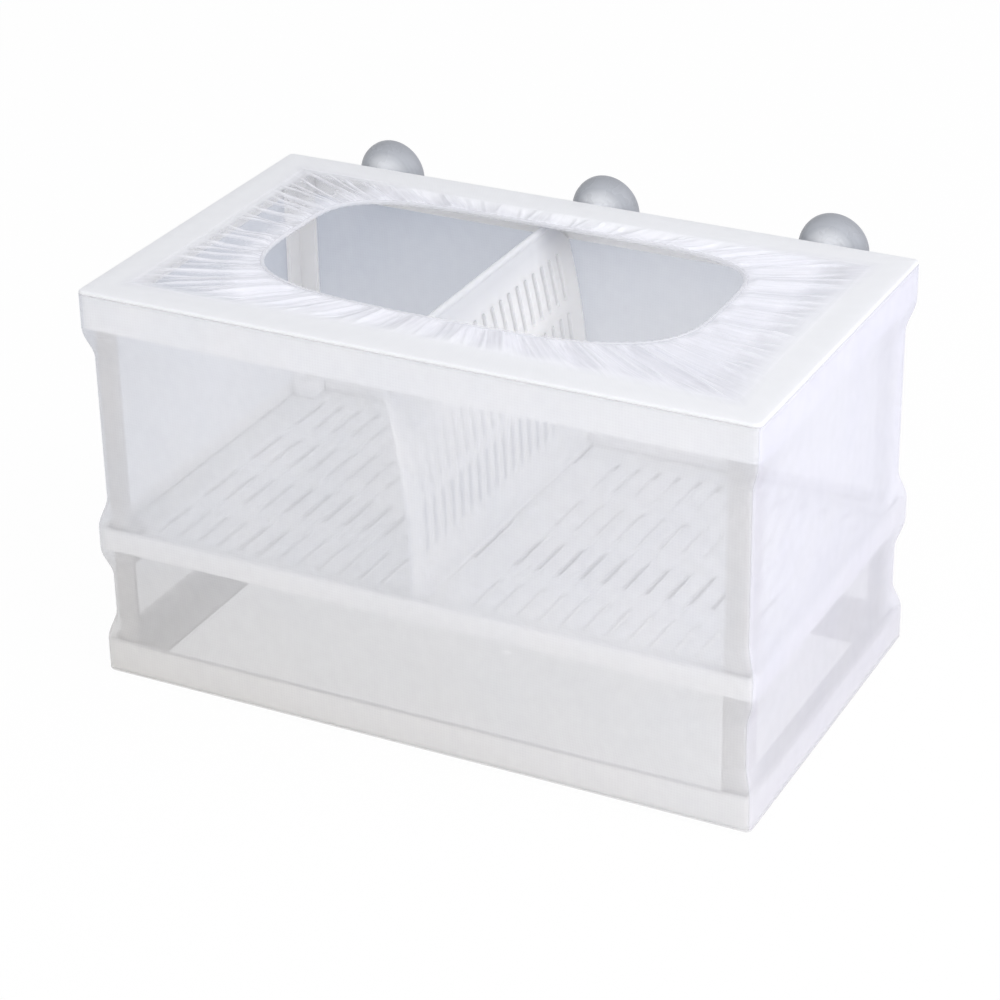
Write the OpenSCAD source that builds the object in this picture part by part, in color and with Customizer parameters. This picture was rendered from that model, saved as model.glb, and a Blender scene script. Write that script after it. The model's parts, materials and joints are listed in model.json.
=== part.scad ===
// Net breeding box for an aquarium: a snap-together plastic frame inside a sewn net bag,
// with two slotted floor plates, a slotted divider and three suction cups.
// X runs left to right, Y front to back and Z up. The origin is the centre of the underside.

/* [Overall size] */
// Width over the net, left to right
box_w = 260; // [220:1:320]
// Depth over the net, front to back
box_d = 150; // [130:1:200]
// Height over the net
box_h = 155; // [145:1:190]

/* [Frame] */
// Thickness of the bars' webs and flanges
bar_t = 2; // [1.6:0.1:2.6]
// Width of a bar's flat flange
flange_w = 13; // [12.6:0.1:16]
// Height of the top bars
top_bar_h = 14; // [12:0.5:20]
// Height of the middle bars
middle_bar_h = 8; // [6:0.5:12]
// Height of the bottom bars
bottom_bar_h = 12.5; // [8:0.5:16]
// Height of the ledge that carries the floor plates
ledge_z = 54; // [44:1:64]
// Width of each leg of a corner post
post_leg = 9; // [8.6:0.1:10]
// Wall thickness of a corner post
post_t = 1.8; // [1.4:0.1:2.2]
// How far the posts stand inside the outer faces of the bars
post_inset = 2.8; // [2.6:0.1:5]
// Height of the solid pad at each end of a post
pad_h = 6; // [5.5:0.5:10]
// Diameter of the pegs that pin the bars to the posts
peg_d = 3.6; // [2.6:0.1:4]
// Depth to which a peg enters the post below it
peg_reach = 4.5; // [3:0.5:4.5]
// Air all round a peg in its hole
peg_gap = 0.05; // [0.03:0.01:0.1]
// Air below the end of a peg in its socket
socket_room = 0.5; // [0.2:0.1:0.8]

/* [Net] */
// Thickness of the net
net_t = 0.4; // [0.3:0.05:0.6]
// Air between the net and the frame
net_gap = 0.2; // [0.15:0.05:0.4]
// Radius of the upright corners over the net
corner_r = 3.6; // [3:0.1:5]
// Height over which the net runs in from a ring to the posts
run_in = 12; // [8:1:15]

/* [Mouth] */
// Clear width of the mouth
mouth_w = 170; // [140:1:186]
// Clear depth of the mouth
mouth_d = 91; // [70:1:98]
// Centre of the mouth, left to right from the centre of the box
mouth_x = -4.2; // [-8:0.1:8]
// Centre of the mouth, front to back from the centre of the box
mouth_y = 5; // [-5:0.1:6]
// How square the front corners of the mouth are, where 2 is an ellipse
mouth_front_square = 3.2; // [2:0.05:5]
// How square the rear corners of the mouth are, where 2 is an ellipse
mouth_rear_square = 4.5; // [2:0.05:5]
// Thickness of the elastic hem
hem_d = 2.4; // [2:0.1:3.2]
// Air between the hem and the gathered net that it is sewn to
hem_seat = 0.25; // [0.2:0.05:0.5]
// Depth of the gathered folds round the mouth
fold_h = 2; // [0.5:0.1:2.2]
// How far the net sinks from the flanges to the hem
mouth_sink = 0.4; // [0:0.1:0.6]
// Gathered folds along the front, and as many along the rear
long_folds = 11; // [7:2:15]
// Gathered folds along each end
short_folds = 7; // [3:2:11]

/* [Floor plates] */
// Thickness of the floor plates
plate_t = 2; // [1.6:0.1:3]
// Air between a floor plate and the webs and posts round it
plate_gap = 0.4; // [0.3:0.1:1]
// Gap between the two floor plates, where the divider stands
divider_slot = 7; // [6.4:0.1:9]
// Length of a slot in a floor plate
plate_slot_l = 23; // [12:1:30]
// Width of a slot in a floor plate
plate_slot_w = 2.5; // [1.5:0.1:3.5]
// Distance between rows of slots in a floor plate, end to end
plate_slot_space = 10.5; // [5:0.5:14]
// Distance between columns of slots in a floor plate, centre to centre
plate_slot_pitch = 8.5; // [6:0.5:14]
// Least solid border at a floor plate's left and right
plate_side = 14; // [12:0.5:18]
// Least solid border at a floor plate's front and rear
plate_end = 10; // [6:0.5:16]

/* [Divider] */
// Place of the divider's foot, from the centre of the box
divider_x = -0.5; // [-20:0.5:20]
// Angle at which the divider leans to the left
lean = 6.6; // [0:0.1:12]
// Thickness of the divider
divider_t = 1.6; // [1.2:0.1:2.2]
// How far the divider bows to the right at half its height
bow = 4; // [1:0.1:4.6]
// Diameter of the rounded foot
foot_d = 4; // [3:0.1:4.6]
// Air between the foot and the ledges that it stands on
foot_gap = 0.1; // [0.05:0.05:0.3]
// Diameter of the rolled top rim
rim_d = 2.8; // [2.4:0.1:3.4]
// Air between the divider and the bars in front of it and behind it
divider_gap = 0.4; // [0.3:0.1:1]
// Air between the upright divider and the hem above it
top_gap = 1.2; // [0.5:0.1:6]
// Cut at each top corner of the divider, clear of the suction cups' heads
corner_cut = 10; // [9:0.5:16]
// Length of a slot in the divider
divider_slot_l = 18.5; // [10:0.5:22]
// Width of a slot in the divider
divider_slot_w = 2.6; // [1.4:0.1:3]
// Distance between rows of slots in the divider, end to end
divider_slot_space = 5; // [4:0.5:8]
// Distance between columns of slots in the divider, centre to centre
divider_slot_pitch = 6.75; // [5:0.25:10]
// Least height of the slots above the divider's foot
divider_slot_z = 16; // [7:0.5:20]
// Least solid border at the divider's sides and top
divider_border = 11; // [9:0.5:16]

/* [Suction cups] */
// Distance between the suction cups
cup_pitch = 91.5; // [60:0.5:100]
// Place of the middle suction cup, from the centre of the box
cup_x = 2; // [-5:0.5:5]
// Depth of a suction cup's axis below the top of the net
cup_drop = 5.8; // [5.6:0.1:9]
// Diameter of a suction cup
cup_d = 27; // [20:1:34]
// Height of a suction cup, from its boss to its rim
cup_h = 9.7; // [8:0.1:14]
// Diameter of the neck that passes through the rear bar
neck_d = 4.4; // [3:0.1:4.6]
// Diameter of the barbed head inside the rear bar
head_d = 5.9; // [5.4:0.1:6]
// Length of the barbed head
head_l = 3.5; // [2:0.1:3.6]
// Length of the straight part of the barbed head, before it tapers
head_land = 0.8; // [0.4:0.1:1.2]
// Diameter of the barbed head's tip
tip_d = 3.6; // [2:0.1:4.4]
// Diameter of the boss outside the net
boss_d = 8; // [6:0.5:11]
// Length of the boss, up to where the dome starts
boss_l = 2; // [1:0.5:4]
// Thickness of a suction cup's rim
cup_rim_t = 1; // [0.6:0.1:1.6]
// Depth of the hollow in a suction cup
cup_hollow = 3; // [1.5:0.1:4]
// Air all round a neck in its hole
neck_gap = 0.05; // [0.03:0.01:0.09]
// Air between the net and a neck or a boss, and between a head and its bar
cup_gap = 0.3; // [0.2:0.1:0.6]

/* [Hidden] */
$fn = 48;

// How far a cut runs past the faces that it opens, and a peg into its own post.
over = 1;

// The frame stands inside the net with air all round.
skin = net_t + net_gap;
frame_w = box_w - 2 * skin;
frame_d = box_d - 2 * skin;
frame_r = corner_r - skin;
frame_bottom = skin;
frame_top = box_h - skin;

// The heights where the net leaves one ring and reaches the next.
bottom_ring_top = frame_bottom + bottom_bar_h;
middle_ring_bottom = ledge_z - bar_t;
middle_ring_top = middle_ring_bottom + middle_bar_h;
top_ring_bottom = frame_top - top_bar_h;

// The posts' outer faces and the middles of their pegs, from the centre of the box.
post_x = frame_w / 2 - post_inset;
post_y = frame_d / 2 - post_inset;
peg_x = post_x - post_leg / 2;
peg_y = post_y - post_leg / 2;

// The floor plates' outer edges, inside the webs of the middle ring.
plate_x = frame_w / 2 - bar_t - plate_gap;
plate_y = frame_d / 2 - bar_t - plate_gap;

// The divider turns on the centre of its round foot and ends below the hem when it is upright.
foot_z = ledge_z + foot_gap + foot_d / 2;
hem_z = box_h - mouth_sink - hem_d / 2;
divider_h = hem_z - hem_d / 2 - top_gap - foot_z;
divider_d = frame_d - 2 * bar_t - 2 * divider_gap;

cup_z = box_h - cup_drop;
cup_places = [cup_x - cup_pitch, cup_x, cup_x + cup_pitch];

net_colour = [0.93, 0.94, 0.97, 0.6];
hem_colour = [0.96, 0.96, 0.97];
frame_colour = [0.95, 0.95, 0.95];
plate_colour = [0.9, 0.92, 0.94];
divider_colour = [0.91, 0.93, 0.94];
cup_colour = [0.7, 0.74, 0.79];

// A rectangle with round corners, drawn from squares and circles.
module round_rect(w, d, r) {
    square([w, d - 2 * r], center = true);
    square([w - 2 * r, d], center = true);
    for (x = [-1, 1], y = [-1, 1])
        translate([x * (w / 2 - r), y * (d / 2 - r)]) circle(r);
}

module round_block(w, d, r, z0, z1)
    translate([0, 0, z0]) linear_extrude(z1 - z0) round_rect(w, d, r);

// The four peg holes of a ring, through both lapped flanges.
module peg_holes()
    for (sx = [-1, 1], sy = [-1, 1])
        translate([sx * peg_x, sy * peg_y, -over])
            cylinder(h = bar_t + 2 * over, d = peg_d + 2 * peg_gap);

// A front bar lying on its flange. At each corner its flange keeps the lower half of its thickness.
module long_bar(web_h) {
    corner_y = -frame_d / 2 + bar_t + flange_w / 2;
    intersection() {
        round_block(frame_w, frame_d, frame_r, 0, web_h);
        difference() {
            translate([-frame_w / 2, -frame_d / 2, 0]) {
                cube([frame_w, bar_t, web_h]);
                cube([frame_w, flange_w, bar_t]);
            }
            for (s = [-1, 1]) {
                translate([s * (frame_w - flange_w) / 2, corner_y, bar_t])
                    cube([flange_w, flange_w, bar_t], center = true);
                translate([s * (frame_w - bar_t) / 2, corner_y, 0])
                    cube([bar_t, flange_w, 4 * bar_t], center = true);
            }
            peg_holes();
        }
    }
}

// A left bar lying on its flange, between the long bars. At each corner its flange keeps the upper half.
module short_bar(web_h) {
    inner_d = frame_d - 2 * bar_t;
    intersection() {
        round_block(frame_w, frame_d, frame_r, 0, web_h);
        difference() {
            translate([-frame_w / 2, -inner_d / 2, 0]) {
                cube([bar_t, inner_d, web_h]);
                cube([flange_w, inner_d, bar_t]);
            }
            for (s = [-1, 1])
                translate([-frame_w / 2 + bar_t + flange_w / 2, s * (frame_d - flange_w) / 2, 0])
                    cube([flange_w, flange_w, bar_t], center = true);
            peg_holes();
        }
    }
}

// The top ring lies upside down, with its flanges uppermost. The other rings stand on their flanges.
module in_top_ring() translate([0, 0, frame_top]) mirror([0, 0, 1]) children();
module in_middle_ring() translate([0, 0, middle_ring_bottom]) children();
module in_bottom_ring() translate([0, 0, frame_bottom]) children();
module to_rear() mirror([0, 1, 0]) children();
module to_right() mirror([1, 0, 0]) children();

module top_front_bar() color(frame_colour) in_top_ring() long_bar(top_bar_h);
module top_left_bar() color(frame_colour) in_top_ring() short_bar(top_bar_h);
module top_right_bar() color(frame_colour) in_top_ring() to_right() short_bar(top_bar_h);

// The rear top bar has the holes that hold the suction cups' necks.
module top_rear_bar()
    color(frame_colour) difference() {
        in_top_ring() to_rear() long_bar(top_bar_h);
        for (x = cup_places)
            translate([x, frame_d / 2 + over, cup_z]) rotate([90, 0, 0])
                cylinder(h = bar_t + 2 * over, d = neck_d + 2 * neck_gap);
    }

module middle_front_bar() color(frame_colour) in_middle_ring() long_bar(middle_bar_h);
module middle_rear_bar() color(frame_colour) in_middle_ring() to_rear() long_bar(middle_bar_h);
module middle_left_bar() color(frame_colour) in_middle_ring() short_bar(middle_bar_h);
module middle_right_bar() color(frame_colour) in_middle_ring() to_right() short_bar(middle_bar_h);

module bottom_front_bar() color(frame_colour) in_bottom_ring() long_bar(bottom_bar_h);
module bottom_rear_bar() color(frame_colour) in_bottom_ring() to_rear() long_bar(bottom_bar_h);
module bottom_left_bar() color(frame_colour) in_bottom_ring() short_bar(bottom_bar_h);
module bottom_right_bar() color(frame_colour) in_bottom_ring() to_right() short_bar(bottom_bar_h);

// Mirrors a rear right post to the corner where sx and sy are each -1 or 1.
module at_corner(sx, sy)
    mirror([sx < 0 ? 1 : 0, 0, 0]) mirror([0, sy < 0 ? 1 : 0, 0]) children();

// A corner post: an angle with a solid pad at each end.
module post_body(z0, z1)
    intersection() {
        round_block(2 * post_x, 2 * post_y, frame_r, z0, z1);
        translate([post_x - post_leg, post_y - post_leg, 0]) {
            translate([0, post_leg - post_t, z0]) cube([post_leg, post_t, z1 - z0]);
            translate([post_leg - post_t, 0, z0]) cube([post_t, post_leg, z1 - z0]);
            for (z = [z0, z1 - pad_h]) translate([0, 0, z]) cube([post_leg, post_leg, pad_h]);
        }
    }

// An upper post has a peg up into the top ring and one down through the middle ring.
module upper_post(sx, sy) {
    z0 = ledge_z;
    z1 = frame_top - bar_t;
    down = bar_t + peg_reach;
    color(frame_colour) at_corner(sx, sy) {
        post_body(z0, z1);
        translate([peg_x, peg_y, z0 - down]) cylinder(h = down + over, d = peg_d);
        translate([peg_x, peg_y, z1 - over]) cylinder(h = bar_t + over, d = peg_d);
    }
}

// A lower post has a socket for the upper post's peg and a peg down into the bottom ring.
module lower_post(sx, sy) {
    z0 = frame_bottom + bar_t;
    z1 = middle_ring_bottom;
    socket = peg_reach + socket_room;
    color(frame_colour) at_corner(sx, sy) difference() {
        union() {
            post_body(z0, z1);
            translate([peg_x, peg_y, frame_bottom]) cylinder(h = bar_t + over, d = peg_d);
        }
        translate([peg_x, peg_y, z1 - socket]) cylinder(h = socket + over, d = peg_d + 2 * peg_gap);
    }
}

// Triangles that close a thin sheet, whose outer points come first in rows of n and inner points after.
function sheet_faces(rows, n) =
    let (m = rows * n)
    concat(
        [for (i = [0 : rows - 2], j = [0 : n - 2]) let (a = i * n + j, b = a + n) each
            [[a, b, b + 1], [a, b + 1, a + 1], [m + a, m + b + 1, m + b], [m + a, m + a + 1, m + b + 1]]],
        [for (j = [0 : n - 2]) let (a = j, b = (rows - 1) * n + j) each
            [[a, a + 1, m + a + 1], [a, m + a + 1, m + a], [b, m + b + 1, b + 1], [b, m + b, m + b + 1]]],
        [for (i = [0 : rows - 2]) let (a = i * n, b = a + n, c = a + n - 1, d = c + n) each
            [[a, m + b, b], [a, m + a, m + b], [c, d, m + d], [c, m + d, m + c]]]
    );

function ease(t) = t * t * (3 - 2 * t);

// Steps in which the net runs in from a ring, and in which a wall turns its half of a corner.
dip_steps = 3;
corner_steps = 2;

// Levels of a bay between two rings: [height, how far the net runs in, height of the bay].
function bay(low, high) =
    let (z0 = low + net_gap, z1 = high - net_gap, steps = [0 : dip_steps])
    concat(
        [for (k = steps) [z0 + run_in * k / dip_steps, post_inset * ease(k / dip_steps), z1 - z0]],
        [for (k = steps) [z1 - run_in * (1 - k / dip_steps), post_inset * ease(1 - k / dip_steps), z1 - z0]]
    );

net_levels = concat(
    [[net_t, 0, box_h]],
    bay(bottom_ring_top, middle_ring_bottom),
    bay(middle_ring_top, top_ring_bottom),
    [[box_h - net_t, 0, box_h]]
);

// A point of the arc round the corner at cx, cy: [x, y, normal x, normal y].
function arc_point(cx, cy, a) = [cx + corner_r * cos(a), cy + corner_r * sin(a), cos(a), sin(a)];

// Places along a front wall of length l at depth w, from corner to corner.
function wall_line(l, w, spans) =
    let (
        cx = l / 2 - corner_r,
        cy = -w / 2 + corner_r,
        arc = [for (i = [0 : corner_steps]) 45 * i / corner_steps]
    )
    concat(
        [for (a = arc) arc_point(-cx, cy, 225 + a)],
        [for (k = [1 : spans - 1]) [-cx * cos(180 * k / spans), -w / 2, 0, -1]],
        [for (a = arc) arc_point(cx, cy, 270 + a)]
    );

// A point of the wall, moved in by t through the net. The pull of the posts fades along the wall.
function wall_point(p, level, l, t) =
    let (
        flat = l / 2 - corner_r,
        from_post = max(0, flat - abs(p[0])),
        dip = level[1],
        fade = exp(-PI * from_post / level[2]),
        draw = dip * min(1, abs(p[0]) / flat) * sign(p[0])
    )
    [p[0] - t * p[2] - draw, p[1] - t * p[3] + dip * fade, level[0]];

module net_wall(l, w, spans) {
    line = wall_line(l, w, spans);
    polyhedron(
        points = [for (t = [0, net_t], level = net_levels, p = line) wall_point(p, level, l, t)],
        faces = sheet_faces(len(net_levels), len(line))
    );
}

// Stretches of flat net between a wall's two corners.
long_spans = 11;
short_spans = 7;

module net_front() color(net_colour) net_wall(box_w, box_d, long_spans);

// The rear net has a hole round each suction cup's neck.
module net_rear()
    color(net_colour) difference() {
        rotate([0, 0, 180]) net_wall(box_w, box_d, long_spans);
        for (x = cup_places)
            translate([x, box_d / 2 + over, cup_z]) rotate([90, 0, 0])
                cylinder(h = skin + 2 * over, d = neck_d + 2 * cup_gap);
    }

module net_left() color(net_colour) rotate([0, 0, -90]) net_wall(box_d, box_w, short_spans);
module net_right() color(net_colour) rotate([0, 0, 90]) net_wall(box_d, box_w, short_spans);
module net_bottom() color(net_colour) round_block(box_w, box_d, corner_r, 0, net_t);

// The point of the mouth's edge that lies towards p, with the mouth grown by g all round.
function mouth_point(p, g) =
    let (
        a = mouth_w / 2 + g,
        b = mouth_d / 2 + g,
        u = (p[0] - mouth_x) / a,
        v = (p[1] - mouth_y) / b,
        n = v < 0 ? mouth_front_square : mouth_rear_square,
        size = pow(pow(abs(u), n) + pow(abs(v), n), 1 / n)
    )
    [mouth_x + a * u / size, mouth_y + b * v / size];

// The outer edge of the collar's front, at step j of n, round half of the box's corner at each end.
function collar_edge(l, w, j, n) =
    let (
        cx = l / 2 - corner_r,
        cy = w / 2 - corner_r,
        end = min(j, n - j),
        side = j * 2 < n ? -1 : 1,
        a = 45 * (1 - end / corner_steps)
    )
    end <= corner_steps
        ? [side * (cx + corner_r * sin(a)), -cy - corner_r * cos(a)]
        : [cx * (2 * (j - corner_steps) / (n - 2 * corner_steps) - 1), -w / 2];

function turned(p, a) = [p[0] * cos(a) - p[1] * sin(a), p[0] * sin(a) + p[1] * cos(a)];

// How much of the folds' depth each row of the collar has, from the box's edge to the hem.
collar_rows = [0, 0, 0.8, 1, 0.7];
steps_per_fold = 4;

// A point of the collar at row k and step j of n, on the side of the box that is turned by a.
function collar_point(l, w, k, j, n, a, t) =
    let (
        f = max(0, (k - 1) / (len(collar_rows) - 2)),
        flange_edge = [(l / 2 - flange_w - skin) * (2 * j / n - 1), -(w / 2 - flange_w - skin)],
        inner = turned(flange_edge, a),
        p = k == 0 ? turned(collar_edge(l, w, j, n), a)
                   : inner * (1 - f) + mouth_point(inner, hem_d + hem_seat) * f,
        fold = fold_h * collar_rows[k] * (1 - cos(360 * j / steps_per_fold)) / 2
    )
    [p[0], p[1], box_h - mouth_sink * f - fold - t];

module collar(l, w, folds, a) {
    n = steps_per_fold * folds;
    rows = len(collar_rows);
    polyhedron(
        points = [for (t = [0, net_t], k = [0 : rows - 1], j = [0 : n])
            collar_point(l, w, k, j, n, a, t)],
        faces = sheet_faces(rows, n + 1)
    );
}

module collar_front() color(net_colour) collar(box_w, box_d, long_folds, 0);
module collar_rear() color(net_colour) collar(box_w, box_d, long_folds, 180);
module collar_left() color(net_colour) collar(box_d, box_w, short_folds, -90);
module collar_right() color(net_colour) collar(box_d, box_w, short_folds, 90);

// The hem is one closed tube round the mouth.
hem_rings = 72;
hem_sides = 6;
hem_line = [for (i = [0 : hem_rings - 1])
    let (a = 360 * i / hem_rings)
    mouth_point([mouth_x + mouth_w * cos(a), mouth_y + mouth_d * sin(a)], hem_d / 2)];

// The corners of the hem's ring i, square to the line that it follows.
function hem_ring(i) =
    let (
        ahead = hem_line[(i + 1) % hem_rings] - hem_line[(i + hem_rings - 1) % hem_rings],
        out = [ahead[1], -ahead[0]] / norm(ahead),
        r = hem_d / 2
    )
    [for (k = [0 : hem_sides - 1])
        let (q = 360 * k / hem_sides, p = hem_line[i] + r * cos(q) * out)
        [p[0], p[1], hem_z + r * sin(q)]];

module elastic_hem()
    color(hem_colour) polyhedron(
        points = [for (i = [0 : hem_rings - 1]) each hem_ring(i)],
        faces = [for (i = [0 : hem_rings - 1], k = [0 : hem_sides - 1])
            let (
                a = i * hem_sides + k,
                b = i * hem_sides + (k + 1) % hem_sides,
                c = ((i + 1) % hem_rings) * hem_sides + k,
                d = ((i + 1) % hem_rings) * hem_sides + (k + 1) % hem_sides
            )
            each [[a, b, d], [a, d, c]]]
    );

// A slot with round ends, along Y, centred on the origin.
module slot(l, w) {
    square([w, l - w], center = true);
    for (s = [-1, 1]) translate([0, s * (l - w) / 2]) circle(d = w, $fn = 24);
}

// Rows and columns of slots that fill the width from x0 to x1 and the height from y0 to y1.
module slot_field(x0, x1, y0, y1, l, w, space, pitch) {
    columns = floor((x1 - x0) / pitch) + 1;
    rows = floor((y1 - y0 + space) / (l + space));
    for (i = [0 : columns - 1], j = [0 : rows - 1])
        translate([
            (x0 + x1) / 2 + (i - (columns - 1) / 2) * pitch,
            (y0 + y1) / 2 + (j - (rows - 1) / 2) * (l + space)
        ]) slot(l, w);
}

// A slotted plate from x0 to x1, cut out round the posts at its outer corners.
module floor_plate(x0, x1)
    translate([0, 0, ledge_z]) linear_extrude(plate_t) difference() {
        translate([x0, -plate_y]) square([x1 - x0, 2 * plate_y]);
        for (sx = [-1, 1], sy = [-1, 1])
            translate([sx * post_x, sy * post_y])
                square(2 * (post_leg + plate_gap), center = true);
        slot_field(x0 + plate_side, x1 - plate_side,
            -plate_y + plate_end, plate_y - plate_end,
            plate_slot_l, plate_slot_w, plate_slot_space, plate_slot_pitch);
    }

module left_floor_plate() color(plate_colour) floor_plate(-plate_x, divider_x - divider_slot / 2);
module right_floor_plate() color(plate_colour) floor_plate(divider_x + divider_slot / 2, plate_x);

// A wall of the given thickness and depth that curves out to the right by bow at half its height.
module bowed_wall(h, d, t) {
    r = (h * h / 4 + bow * bow) / (2 * bow);
    facets = 256;
    translate([bow - r, d / 2, h / 2]) rotate([90, 0, 0]) difference() {
        cylinder(h = d, r = r + t / 2, $fn = facets);
        translate([0, 0, -over]) cylinder(h = d + 2 * over, r = r - t / 2, $fn = facets);
    }
}

// A bead of diameter d along the divider at height z.
module bead(z, d)
    translate([0, divider_d / 2, z]) rotate([90, 0, 0]) cylinder(h = divider_d, d = d);

// The bowed panel, upright on the centre of its foot.
module divider_panel() {
    half = divider_d / 2;
    rim_z = divider_h - rim_d / 2;
    side = corner_cut * sqrt(2);
    reach = 2 * (bow + rim_d);
    difference() {
        union() {
            intersection() {
                bowed_wall(divider_h, divider_d, divider_t);
                translate([-reach / 2, -half, 0]) cube([reach, divider_d, rim_z]);
            }
            bead(0, foot_d);
            bead(rim_z, rim_d);
        }
        for (s = [-1, 1])
            translate([0, s * half, divider_h]) rotate([45, 0, 0])
                cube([reach, side, side], center = true);
        translate([-reach / 2, 0, 0]) rotate([90, 0, 90]) linear_extrude(reach)
            slot_field(-half + divider_border, half - divider_border,
                divider_slot_z, divider_h - divider_border,
                divider_slot_l, divider_slot_w, divider_slot_space, divider_slot_pitch);
    }
}

module divider()
    color(divider_colour) translate([divider_x, 0, foot_z]) rotate([0, -lean, 0]) divider_panel();

// Steps of the curves over a suction cup's dome and round its hollow.
cup_steps = 8;

// A suction cup, turned about its axis: barbed head, neck, boss, dome and hollow rim.
module suction_cup(x) {
    head_end = frame_d / 2 - bar_t - cup_gap;
    boss_start = box_d / 2 + cup_gap;
    dome_start = boss_start + boss_l;
    rim = boss_start + cup_h;
    dome_h = rim - cup_rim_t - dome_start;
    r = cup_d / 2;
    angles = [for (k = [0 : cup_steps]) 90 * k / cup_steps];
    head = [
        [0, head_end - head_l],
        [tip_d / 2, head_end - head_l],
        [head_d / 2, head_end - head_land],
        [head_d / 2, head_end]
    ];
    neck = [[neck_d / 2, head_end], [neck_d / 2, boss_start], [boss_d / 2, boss_start]];
    dome = [for (a = angles) [boss_d / 2 + (r - boss_d / 2) * sin(a), rim - cup_rim_t - dome_h * cos(a)]];
    hollow = [for (a = angles) [(r - cup_rim_t) * cos(a), rim - cup_hollow * sin(a)]];
    color(cup_colour) translate([x, 0, cup_z]) rotate([-90, 0, 0])
        rotate_extrude() polygon(concat(head, neck, dome, [[r, rim]], hollow));
}

top_front_bar();
top_rear_bar();
top_left_bar();
top_right_bar();
middle_front_bar();
middle_rear_bar();
middle_left_bar();
middle_right_bar();
bottom_front_bar();
bottom_rear_bar();
bottom_left_bar();
bottom_right_bar();
upper_post(-1, -1);  // upper_post_front_left
upper_post(1, -1);  // upper_post_front_right
upper_post(-1, 1);  // upper_post_rear_left
upper_post(1, 1);  // upper_post_rear_right
lower_post(-1, -1);  // lower_post_front_left
lower_post(1, -1);  // lower_post_front_right
lower_post(-1, 1);  // lower_post_rear_left
lower_post(1, 1);  // lower_post_rear_right
net_front();
net_rear();
net_left();
net_right();
net_bottom();
collar_front();
collar_rear();
collar_left();
collar_right();
elastic_hem();
left_floor_plate();
right_floor_plate();
divider();
suction_cup(cup_places[0]);  // suction_cup_left
suction_cup(cup_places[1]);  // suction_cup_middle
suction_cup(cup_places[2]);  // suction_cup_right
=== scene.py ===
import math
import random
from collections import namedtuple

import bpy
import numpy as np
from mathutils import Matrix, Vector, noise
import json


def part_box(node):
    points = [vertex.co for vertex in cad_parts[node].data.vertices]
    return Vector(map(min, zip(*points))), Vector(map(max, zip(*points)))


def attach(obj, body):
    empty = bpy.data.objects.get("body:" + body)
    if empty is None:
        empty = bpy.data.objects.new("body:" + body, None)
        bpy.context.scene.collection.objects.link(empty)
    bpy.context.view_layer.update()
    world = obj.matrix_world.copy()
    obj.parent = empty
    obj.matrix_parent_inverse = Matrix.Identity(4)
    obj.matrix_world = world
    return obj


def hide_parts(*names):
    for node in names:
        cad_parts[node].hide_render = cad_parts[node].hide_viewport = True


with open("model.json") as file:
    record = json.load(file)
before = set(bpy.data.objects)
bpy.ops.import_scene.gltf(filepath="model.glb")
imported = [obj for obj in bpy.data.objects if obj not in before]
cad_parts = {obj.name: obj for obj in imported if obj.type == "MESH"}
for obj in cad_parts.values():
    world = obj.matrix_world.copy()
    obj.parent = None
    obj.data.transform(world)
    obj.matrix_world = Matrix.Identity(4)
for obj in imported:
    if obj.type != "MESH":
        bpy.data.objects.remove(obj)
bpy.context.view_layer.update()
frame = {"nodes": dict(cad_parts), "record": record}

# Lengths are in metres, and come from the frame where a CAD node has them. The front is at -y.
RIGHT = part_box("net_bottom")[1].x
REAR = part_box("net_bottom")[1].y
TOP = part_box("collar_front")[1].z

# The frame that the net lies on. The opening is the one inside the top ring's flanges.
OPENING_HALF = Vector((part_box("top_left_bar")[1].x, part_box("top_front_bar")[1].y)) * -1
FLANGE_WIDTH = RIGHT - OPENING_HALF.x
POST_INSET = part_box("top_right_bar")[1].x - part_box("upper_post_front_right")[1].x

# The net's walls. A bay is the height between two rings, where the posts let the net run in.
NET_THICKNESS = 0.00035
NET_GAP = 0.0002
CORNER_RADIUS = 0.0024
CORNER_STEPS = 4
EDGE_RADIUS = 0.0012
EDGE_ANGLES = [math.radians(angle) for angle in (0, 22.5, 45, 67.5, 90)]
RUN_IN = 0.012
WALL_ROW = 0.0018
WALL_COLUMN = 0.002
BAYS = [
    (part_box(below)[1].z + NET_GAP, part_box(above)[0].z - NET_GAP)
    for below, above in (("bottom_front_bar", "middle_front_bar"), ("middle_front_bar", "top_front_bar"))
]

# A wall's slack is smooth noise that is full from the free width inwards, with ripples by the posts.
SLACK = 0.0006
SLACK_SCALE = (22, 34)
WALL_SEED = 7.3
FREE_WIDTH = 0.012
RIPPLE = 0.0003
RIPPLE_LENGTH = 0.011
RIPPLE_SLOPE = 0.6
NECK_HOLE_RADIUS = 0.0025
NECK_HOLE_DEPTH = 0.01

# The mouth, as the hem's centre line goes round it. The two powers say how square its corners are.
HEM_LOW, HEM_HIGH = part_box("elastic_hem")
HEM_RADIUS = 0.0012
HEM_Z = (HEM_LOW.z + HEM_HIGH.z) / 2
MOUTH_X, MOUTH_Y = (HEM_LOW.x + HEM_HIGH.x) / 2, (HEM_LOW.y + HEM_HIGH.y) / 2
MOUTH_HALF = (HEM_HIGH - HEM_LOW).xy / 2 - Vector((HEM_RADIUS, HEM_RADIUS))
FRONT_SQUARE, REAR_SQUARE = 3.2, 4.5
HEM_RINGS, HEM_SIDES = 560, 14
HEM_GATHER_LENGTH = 0.0034
HEM_THIN, HEM_PUFF = 0.6, 0.2
HEM_LIFT = 0.0002

# The gathered top. Where a number is a share of the way in, 0 is at the flange and 1 at the hem.
COLUMN_WIDTH = 0.00055
FLANGE_ROWS, GATHER_ROWS = 3, 27
SINK = 0.0004
HEM_COVER = 0.0004
TUCK_START = 0.88

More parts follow.
